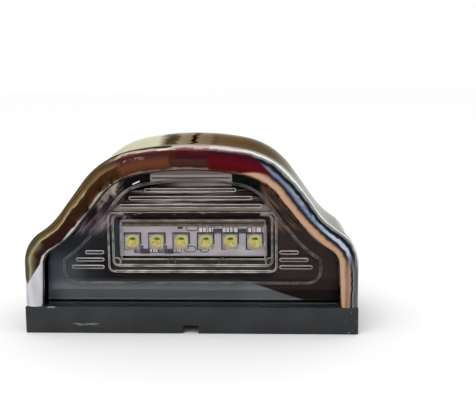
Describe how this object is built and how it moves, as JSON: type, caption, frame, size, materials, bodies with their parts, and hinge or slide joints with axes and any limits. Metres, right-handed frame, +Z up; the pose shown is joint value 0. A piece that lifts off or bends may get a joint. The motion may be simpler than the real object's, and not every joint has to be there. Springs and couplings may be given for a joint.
{
  "type": "number plate lamp",
  "caption": "LED number plate lamp with a bell-shaped bright hood over a clear ribbed lens, on a black moulded base that bolts down from below",
  "frame": {"origin": "middle of the base's footprint on the mounting plane", "axes": "+X along the lamp's width, +Y towards the back of the hood, +Z up from the mounting plane; the lens faces -Y"},
  "size_m": [0.11, 0.056, 0.0642],
  "materials": {
    "base_black": "fine-textured moulded ABS",
    "hood_chrome": "bright chrome plate on moulded ABS",
    "lens_clear": "clear moulded polycarbonate",
    "seal_rubber": "moulded rubber",
    "housing_black": "satin moulded ABS",
    "board_white": "white solder resist",
    "led_case": "moulded white resin",
    "led_dome": "yellow phosphor in silicone",
    "chip_dark": "dark ceramic chip",
    "screw_steel": "zinc plated",
    "insert_brass": "turned brass",
    "grommet_rubber": "moulded rubber"
  },
  "bodies": {
    "root": {"base": "base_black", "hood": "hood_chrome", "lens": "lens_clear", "lens_seal": "seal_rubber", "housing": "housing_black", "light_board": "board_white", "led_case_1": "led_case", "led_case_2": "led_case", "led_case_3": "led_case", "led_case_4": "led_case", "led_case_5": "led_case", "led_case_6": "led_case", "led_dome_1": "led_dome", "led_dome_2": "led_dome", "led_dome_3": "led_dome", "led_dome_4": "led_dome", "led_dome_5": "led_dome", "led_dome_6": "led_dome", "chip_1": "chip_dark", "chip_2": "chip_dark", "chip_3": "chip_dark", "chip_4": "chip_dark", "board_screws": "screw_steel", "housing_screws": "screw_steel", "threaded_inserts": "insert_brass", "cable_grommet": "grommet_rubber"}
  },
  "joints": []
}
